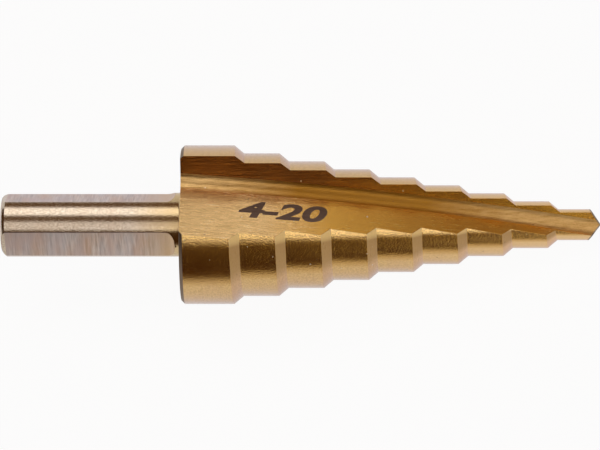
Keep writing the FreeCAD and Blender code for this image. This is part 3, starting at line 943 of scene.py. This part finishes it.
def give_material(mesh, faces, material):
    """Gives faces of a bmesh the slot of a material, which is added if it is new."""
    names = [entry.name if entry else "" for entry in mesh.materials]
    if material.name not in names:
        mesh.materials.append(material)
        names.append(material.name)
    for face in faces:
        face.material_index = names.index(material.name)


def open_rim(shape, wanted):
    """The edges of a hole, of which both ends are where they are wanted."""
    return [
        edge for edge in shape.edges
        if edge.is_boundary and all(wanted(vertex.co.x) for vertex in edge.verts)
    ]


def flank_normal(side, relief):
    """The direction that one flank of the point faces."""
    slope = math.tan(relief)
    roof_slope = math.hypot(lip_slope, slope)
    roof_turn = rake_angle + math.atan(slope / lip_slope)
    y, z = (side * roof_slope * turned(roof_turn) for turned in (math.sin, math.cos))
    return Vector((1, y, z)).normalized()


def close_head(mesh):
    shape = bmesh.new()
    shape.from_mesh(mesh)
    filled = bmesh.ops.holes_fill(shape, edges=open_rim(shape, lambda x: x < first_front), sides=0)
    give_material(mesh, filled["faces"], cone_finish)
    for side, relief in POINT_RELIEFS.items():
        normal = flank_normal(side, relief)
        apex = Vector((POINT_END, 0, 0))
        lip = apex - normal * LIP_WIDTH
        for place, clear in ((lip, False), (apex, True)):
            bmesh.ops.bisect_plane(
                shape, geom=shape.verts[:] + shape.edges[:] + shape.faces[:], dist=WELD,
                plane_co=place, plane_no=normal, clear_outer=clear,
            )
        past_lip = [
            face for face in shape.faces if (face.calc_center_median() - lip).dot(normal) > 0
        ]
        give_material(mesh, past_lip, flank_finish)
        filled = bmesh.ops.contextual_create(shape, geom=open_rim(shape, lambda x: x > first_front))
        give_material(mesh, filled["faces"], flank_finish)
    bmesh.ops.recalc_face_normals(shape, faces=shape.faces)
    open_edges = [edge for edge in shape.edges if not edge.is_manifold]
    shape.to_mesh(mesh)
    shape.free()
    print("head faces:", len(mesh.polygons), "open edges:", len(open_edges))


close_head(head_skin)

# %% [markdown]
# ## The shank
#
# The shank is an 8 mm bar with three flats, which keep it from turning in a drill chuck.
# Each flat ends in a hollow, where the grinding wheel was lifted off. A cylinder cut by
# three boxes would give flats with square ends, so the shank is a second grid, with the
# hollow as part of its rule.

# %% Sizes of the shank
CAP_ROWS = 3
CHAMFER_ROWS = 5
FLAT_ROWS = 16
RUNOUT_ROWS = 12
NECK_ROWS = 2
FILLET_ROWS = 6
FLAT_COLUMNS = 14
ROUND_COLUMNS = 26

shank_sizes = {
    "Radius": 4.0 * MM,
    "Length": shank_length,
    "Chamfer": 0.55 * MM,
    "Crown": 1.5 * MM,
    "Neck Fillet": 0.35 * MM,
    "Flat Height": 3.45 * MM,
    "Flat Length": 20.5 * MM,
    "Run Out": 1.5 * MM,
    "Turn": FLAT_TURN,
    "Seat": 0.3 * MM,
}
print("shank", round(shank_length / MM, 1), "mm long")

# %% [markdown]
# The rows of this grid start in the middle of the end face, cross the crowned chamfer, run
# along the bar and its flats, and turn out in a small fillet to the back of the head. The
# last row closes the shank inside the head, where it isn't seen.

# %% Rows of the shank
def shank_profile(skin):
    """Place along the drill and radius of each row, from the middle of the end face."""
    radius = skin.size("Radius")
    length = skin.size("Length")
    chamfer = skin.size("Chamfer")
    crown = skin.size("Crown")
    fillet = skin.size("Neck Fillet")
    flat_length = skin.size("Flat Length")
    runout = skin.size("Run Out")
    depth = radius - skin.size("Flat Height")
    runout_length = root(runout * runout - (runout - depth) * (runout - depth))
    half_chord = chamfer * math.sqrt(0.5)
    bow = crown - root(crown * crown - half_chord * half_chord)

    def cap(share):
        return [share * 0.0, (radius - chamfer) * share]

    def crowned_chamfer(share):
        rise = bow * 4 * share * (1 - share) * math.sqrt(0.5)
        return [chamfer * share - rise, radius - chamfer + chamfer * share + rise]

    def straight(share):
        return [chamfer + (flat_length - chamfer) * share, radius + share * 0.0]

    def run_out(share):
        return [flat_length + runout_length * share, radius + share * 0.0]

    def neck(share):
        start = flat_length + runout_length
        return [start + (length - fillet - start) * share, radius + share * 0.0]

    def neck_fillet(share):
        angle = share * math.pi / 2
        return [length - fillet + fillet * sine(angle), radius + fillet - fillet * cosine(angle)]

    def seat(share):
        return [length + skin.size("Seat") * share, (radius + fillet) * (1 - share)]

    return piecewise(skin.row, [
        (CAP_ROWS, cap),
        (CHAMFER_ROWS, crowned_chamfer),
        (FLAT_ROWS, straight),
        (RUNOUT_ROWS, run_out),
        (NECK_ROWS, neck),
        (FILLET_ROWS, neck_fillet),
        (1, seat),
    ])

# %% [markdown]
# Its columns take turns between a flat and what is left of the round. The flat is as wide
# as its height above the axis lets it be, so its edges come nearer to each other in the
# hollow by themselves, and meet where it ends.

# %% Columns of the shank: three flats and three rounds
THIRD_TURN = 2 * math.pi / 3
TINY = 1e-9


def shank_section(skin, place, radius):
    """Where each column lies around the axis: a flat and a round stretch, three times."""
    third, index = part_of(skin, FLAT_COLUMNS + ROUND_COLUMNS)
    runout = skin.size("Run Out")
    past = (place - skin.size("Flat Length")).math("MAXIMUM", 0.0)
    past = past.math("MINIMUM", runout)
    height = skin.size("Flat Height") + runout - root(runout * runout - past * past)
    height = height.math("MINIMUM", radius)
    half_angle = (height / (radius + TINY)).math("MINIMUM", 1.0).math("ARCCOSINE")
    middle = skin.size("Turn") + third * THIRD_TURN
    half_width = radius * sine(half_angle)

    def flat(share):
        offset = half_width * (2 * share - 1)
        y = height * sine(middle) + offset * cosine(middle)
        return [y, height * cosine(middle) - offset * sine(middle)]

    def round_part(share):
        angle = middle + half_angle + (THIRD_TURN - 2 * half_angle) * share
        return [radius * sine(angle), radius * cosine(angle)]

    y, z = piecewise(index, [(FLAT_COLUMNS, flat), (ROUND_COLUMNS, round_part)])
    return index, y, z

# %% [markdown]
# The shank is woven as the head was. Only the long side of a flat gets the flat's finish;
# the same columns on the end face and the fillet stay round steel.

# %% The skin of the shank
def make_shank_skin():
    rows = 2 + CAP_ROWS + CHAMFER_ROWS + FLAT_ROWS + RUNOUT_ROWS + NECK_ROWS + FILLET_ROWS
    columns = 3 * (FLAT_COLUMNS + ROUND_COLUMNS) + 1
    skin = SkinTree("step_drill_shank", shank_sizes, rows, columns)
    place, radius = shank_profile(skin)
    index, y, z = shank_section(skin, place, radius)
    skin.paint(shank_finish)
    on_flat = index.math("LESS_THAN", FLAT_COLUMNS)
    flat_start = CAP_ROWS + CHAMFER_ROWS
    in_rows = skin.row.math("LESS_THAN", flat_start + FLAT_ROWS + RUNOUT_ROWS)
    skin.paint(flat_finish, on_flat * in_rows * skin.row.math("GREATER_THAN", flat_start))
    return skin.finish("shank_skin", place, y, z)


shank_skin = make_shank_skin()

# %% [markdown]
# ## One drill
#
# The real drill is one piece of steel, and so is this one: the two skins become one mesh,
# and the matrix from the start lays it on the table. A ground edge is sharp, but never so
# sharp that it doesn't catch the light. A very narrow bevel gives each edge that thin
# line. A shader could fake it, but a real bevel is part of the mesh. Then the drill rides
# on the only body and stands for the solid of the frame.

# %% Joining head and shank
def clean(mesh):
    """Welds doubled points and turns every face outwards."""
    shape = bmesh.new()
    shape.from_mesh(mesh)
    bmesh.ops.remove_doubles(shape, verts=shape.verts, dist=WELD)
    bmesh.ops.recalc_face_normals(shape, faces=shape.faces)
    shape.to_mesh(mesh)
    shape.free()


def join_skins(name, meshes):
    """Joins meshes that lie in the drill's own axes, and puts the result on the table."""
    joined = bpy.data.meshes.new(name)
    whole = bmesh.new()
    for mesh in meshes:
        clean(mesh)
        for entry in mesh.materials:
            if entry and entry.name not in joined.materials:
                joined.materials.append(entry)
        slots = [joined.materials.find(entry.name) if entry else 0 for entry in mesh.materials]
        for face in mesh.polygons:
            face.material_index = slots[face.material_index]
            face.use_smooth = True
        whole.from_mesh(mesh)
    whole.transform(to_table)
    whole.to_mesh(joined)
    whole.free()
    print(name, "has", len(joined.polygons), "faces in", len(joined.materials), "finishes")
    return add_object(name, joined)


EDGE_WIDTH = 0.03 * MM
SHARPEST_CURVE = math.radians(24)
drill = join_skins("drill", [head_skin, shank_skin])
bevel = drill.modifiers.new("edges", "BEVEL")
bevel.width = EDGE_WIDTH
bevel.segments = 2
bevel.limit_method = "ANGLE"
bevel.angle_limit = SHARPEST_CURVE
bevel.use_clamp_overlap = False
bevel.harden_normals = True
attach(drill, "root")
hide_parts("step_drill")

# %% [markdown]
# ## The size mark
#
# The floor of the flute carries a dark mark, burnt into the coating by a laser. The burnt
# layer is so thin that the grinding lines of the floor show through it. Its finish
# is therefore a warm dark grey with the same lines, and not a flat black.

# %% The finish of the mark
def make_mark_finish():
    finish = Finish("laser_grey", 0.5, edge_tint=(0.9, 0.9, 0.9))
    lines_at = drill_coordinates(finish.tree, ALONG, FLUTE_LEAN)
    plain = drill_coordinates(finish.tree)
    lines = finish.effect(grinding_lines, lines_at, Coarse=1.0, Fine=2.8, Fine_Share=0.5)
    grain = finish.effect(coating_grain, plain, Size=0.25, Contrast=1.2)
    grey = finish.mix(lines["Tone"], (0.10, 0.068, 0.058), (0.19, 0.135, 0.11))
    grey = finish.mix(grain["Tone"] * 0.4, grey, (0.20, 0.13, 0.09))
    return finish.finish(
        grey, lines["Tone"], lines["Height"],
        depth=0.02 * MM, rough_spread=0.1,
    )


mark_finish = make_mark_finish()

# %% [markdown]
# Our mark is the plain range of hole sizes in millimetres. It could be a patch of colour in
# the floor's finish, but drawing digits with nodes is hard work, and a thin mesh has crisp
# edges. A text object is made a mesh first, and then each of its points is laid on the
# floor of the flute: its place along the text becomes a place along the drill, and its
# height a distance from the foot of the rounded corner.

# %% The mark
MARK_TEXT = "4-20"
MARK_START = 29.6 * MM
MARK_LENGTH = 11.0 * MM
MARK_HEIGHT = 2.8 * MM
MARK_FOOT = 4.1 * MM
MARK_SLOPE = 0.02
MARK_RAISE = 0.012 * MM
MARK_SLANT = 0.25
MARK_WEIGHT = 0.035
TEXT_THICKNESS = 0.5


def on_flute_floor(place, from_foot, lift):
    """A point on the floor of the upper flute, in the drill's own axes."""
    tilt = head_sizes["Flute Tilt"]
    rounding = head_sizes["Flute Radius"]
    drop = place - head_sizes["Arc Centre Along"]
    corner = head_sizes["Arc Centre Out"] + math.sqrt(flute_arc ** 2 - drop ** 2)
    centre_out = corner + rounding / math.tan((math.pi / 2 + tilt) / 2)
    centre_ahead = head_sizes["Rake Offset"] + rounding
    out = centre_out - (rounding - lift) * math.cos(tilt) - from_foot * math.sin(tilt)
    ahead = centre_ahead - (rounding - lift) * math.sin(tilt) + from_foot * math.cos(tilt)
    y = out * math.sin(rake_angle) - ahead * math.cos(rake_angle)
    return Vector((place, y, out * math.cos(rake_angle) + ahead * math.sin(rake_angle)))


def make_text_mesh():
    """The flat lettering of the mark, lying in the plane of X and Y."""
    text = bpy.data.curves.new("size_text", "FONT")
    text.body = MARK_TEXT
    text.shear = MARK_SLANT
    text.offset = MARK_WEIGHT
    text.extrude = TEXT_THICKNESS
    text.resolution_u = 4
    lettering = add_object("size_text", text)
    evaluated = lettering.evaluated_get(bpy.context.evaluated_depsgraph_get())
    mesh = bpy.data.meshes.new_from_object(evaluated)
    bpy.data.objects.remove(lettering)
    return mesh


def make_size_mark():
    mesh = make_text_mesh()
    left, right = (pick(point.co.x for point in mesh.vertices) for pick in (min, max))
    low, high = (pick(point.co.y for point in mesh.vertices) for pick in (min, max))
    for point in mesh.vertices:
        along_text = (point.co.x - left) / (right - left) * MARK_LENGTH
        up_text = (point.co.y - low) / (high - low) * MARK_HEIGHT
        foot = MARK_FOOT - up_text - along_text * MARK_SLOPE
        lift = point.co.z / TEXT_THICKNESS * MARK_RAISE
        point.co = on_flute_floor(MARK_START + along_text, foot, lift)
    mesh.transform(to_table)
    clean(mesh)
    mesh.materials.clear()
    mesh.materials.append(mark_finish)
    return add_object("size_mark", mesh)


size_mark = make_size_mark()
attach(size_mark, "root")
print("size mark:", len(size_mark.data.polygons), "faces")

# %% [markdown]
# ## The floor and the backdrop
#
# The photo's background is plain white. More light would turn a grey floor white, but it
# would wash the gold out too. So the paper glows instead, for the camera and for mirrored
# rays only: the drill is lit no more than before, and the floor keeps its shadow.

# %% White paper
GLOW_SHARE = 0.94
MIRRORED_SHARE = 0.75


def make_white_paper():
    material = bpy.data.materials.new("white_paper")
    material.use_nodes = True
    tree = material.node_tree
    shader = tree.nodes["Principled BSDF"]
    shader.inputs["Base Color"].default_value = (0.95, 0.95, 0.95, 1)
    shader.inputs["Roughness"].default_value = 0.9
    glow = tree.nodes.new("ShaderNodeEmission")
    path = tree.nodes.new("ShaderNodeLightPath")
    mix = tree.nodes.new("ShaderNodeMixShader")
    camera_ray, glossy_ray, clear_ray = (
        Number(tree, path.outputs["Is " + kind + " Ray"])
        for kind in ("Camera", "Glossy", "Transmission")
    )
    mirrored = glossy_ray.math("MAXIMUM", clear_ray) * MIRRORED_SHARE
    seen = (camera_ray * GLOW_SHARE).math("MAXIMUM", mirrored)
    tree.links.new(seen.socket, mix.inputs[0])
    tree.links.new(shader.outputs[0], mix.inputs[1])
    tree.links.new(glow.outputs[0], mix.inputs[2])
    tree.links.new(mix.outputs[0], tree.nodes["Material Output"].inputs["Surface"])
    return material


white_paper = make_white_paper()

# %% [markdown]
# The table is one large round sheet whose rim is raised into a wall, so that the camera
# sees paper from every side.

# %% Table and wall
TABLE_RADIUS = 4.0
TABLE_SIDES = 96
WALL_TOP = math.radians(24.0)


def make_backdrop():
    """A round white table with a white wall around it, as one sheet."""
    shape = bmesh.new()
    bmesh.ops.create_circle(shape, cap_ends=True, segments=TABLE_SIDES, radius=TABLE_RADIUS)
    rim = [edge for edge in shape.edges if edge.is_boundary]
    wall = bmesh.ops.extrude_edge_only(shape, edges=rim)
    raised = [item for item in wall["geom"] if isinstance(item, bmesh.types.BMVert)]
    wall_height = TABLE_RADIUS * math.tan(WALL_TOP)
    bmesh.ops.translate(shape, verts=raised, vec=(0, 0, wall_height))
    mesh = bpy.data.meshes.new("backdrop")
    shape.to_mesh(mesh)
    shape.free()
    mesh.materials.append(white_paper)
    print("wall", round(wall_height, 2), "m high")
    return add_object("backdrop", mesh)


make_backdrop()

# %% [markdown]
# ## Lights and cards
#
# Polished metal shows what stands around it, so its bright and dark bands are really the
# picture of a studio. Each band of the photo tells where a soft light or a dark card stood:
# how far around the drill it reached, and how far along it. Here they are given in just
# these angles, seen from the drill. Turn zero is toward the camera, and turns grow toward
# the top of the picture.

# %% Where a panel stands
def direction_at(turn):
    """A direction square to the drill, turned from the camera's toward the picture's top."""
    return toward_camera * math.cos(turn) + picture_up * math.sin(turn)


def panel_place(start, end, left, right, distance):
    """The size and place of a panel that fills these angles, in degrees."""
    facing = direction_at(math.radians(start + end) / 2)
    width = 2 * distance * math.tan(math.radians(end - start) / 2)
    left_edge, right_edge = (distance * math.tan(math.radians(side)) for side in (left, right))
    place = Matrix((drill_x, facing.cross(drill_x), facing)).transposed().to_4x4()
    middle = on_axis(VIEW_MIDDLE) + drill_x * (left_edge + right_edge) / 2
    place.translation = middle + facing * distance
    return right_edge - left_edge, width, place

# %% [markdown]
# One large light would make one even band. The photo has several, so there are seven soft
# lights: two long ones for the whole drill, and short, narrow ones that reach only the
# heels, the flute, its corner, the tip or the small steps. Strength is given as radiance,
# which doesn't change with a lamp's size.

# %% Soft lights
SOFTBOXES = {
    # name: (turn from, turn to, left, right, distance, radiance)
    "main_softbox": (34, 64, -45, 6, 0.8, 1.6),
    "camera_softbox": (-19.5, 11, -45, 3, 0.9, 0.85),
    "heel_light": (-25, -9, -0.5, 8, 0.85, 2.4),
    "flute_light": (64, 92, 2.5, 9.8, 0.8, 1.35),
    "corner_light": (11, 34, 2.5, 7, 0.85, 0.95),
    "tip_light": (-28, 60, 16.5, 32, 0.8, 1.3),
    "front_light": (-66, -28, 10.5, 24, 0.6, 0.45),
}

for name, (*panel, radiance) in SOFTBOXES.items():
    length, width, place = panel_place(*panel)
    data = bpy.data.lights.new(name, "AREA")
    data.shape = "RECTANGLE"
    data.size = length
    data.size_y = width
    data.energy = radiance * math.pi * length * width
    lamp = add_object(name, data)
    lamp.matrix_world = place
    lamp.visible_camera = False
    print(name, round(length, 2), "by", round(width, 2), "m")

# %% [markdown]
# A dark band needs something dark to mirror. The cards are brown, not black, as a studio's
# dark side is never quite black, and one is a deep gold that warms the floor of the flute
# toward the tip. Two stand around the drill as the lights do, one stands past the end of the shank,
# and one lies on the table in front. Only reflections see them: they cast no shadow.

# %% Cards
BROWN = (0.14, 0.066, 0.017)
DEEP_GOLD = (0.66, 0.37, 0.08)
END_CARD_AWAY = 0.6
END_CARD_WIDTH = 0.7
END_CARD_HEIGHT = 0.4
TABLE_CARD_START = 47 * MM
TABLE_CARD_DEPTH = 0.5
TABLE_CARD_LENGTH = 1.4
TABLE_CARD_PAST_TIP = 0.1
TABLE_CARD_LIFT = 0.5 * MM


def card(name, length, width, place, color):
    """A matt card, which only reflections see."""
    material = bpy.data.materials.new(name)
    material.use_nodes = True
    shader = material.node_tree.nodes["Principled BSDF"]
    shader.inputs["Base Color"].default_value = (*color, 1)
    shader.inputs["Specular IOR Level"].default_value = 0
    bpy.ops.mesh.primitive_plane_add(size=1)
    sheet = bpy.context.object
    sheet.name = name
    sheet.data.materials.append(material)
    sheet.matrix_world = place @ Matrix.Diagonal((length, width, 1, 1))
    sheet.visible_camera = False
    sheet.visible_diffuse = False
    sheet.visible_shadow = False
    print(name, round(length, 2), "by", round(width, 2), "m")


def flat_direction(vector):
    """The direction of a vector, laid level."""
    return Vector((vector.x, vector.y, 0)).normalized()


front_panel = panel_place(start=-74, end=-23, left=-60, right=11, distance=0.6)
card("front_card", *front_panel, BROWN)
far_panel = panel_place(start=66, end=106, left=10.5, right=24, distance=0.9)
card("far_card", *far_panel, DEEP_GOLD)

vertical = Vector((0, 0, 1))
outward = -flat_direction(drill_x)
upright = Matrix((outward.cross(vertical), vertical, outward)).transposed().to_4x4()
upright.translation = outward * END_CARD_AWAY + vertical * END_CARD_HEIGHT / 2
card("shank_card", END_CARD_WIDTH, END_CARD_HEIGHT, upright, BROWN)

toward_front = -flat_direction(picture_up)
middle = toward_front * (TABLE_CARD_START + TABLE_CARD_DEPTH / 2)
middle += Vector((TABLE_CARD_PAST_TIP - TABLE_CARD_LENGTH / 2, 0, TABLE_CARD_LIFT))
lying = Matrix.Translation(middle)
card("table_card", TABLE_CARD_LENGTH, TABLE_CARD_DEPTH, lying, BROWN)

# %% [markdown]
# What is left around the drill is the world itself. It has the brown of the cards, so that
# no gap between two panels shows as a bright or a black line.

# %% The world
world = bpy.data.worlds.new("studio")
bpy.context.scene.world = world
world.use_nodes = True
world.node_tree.nodes["Background"].inputs["Color"].default_value = (*BROWN, 1)
bpy.context.scene.view_settings.view_transform = "Standard"
print("world", BROWN)
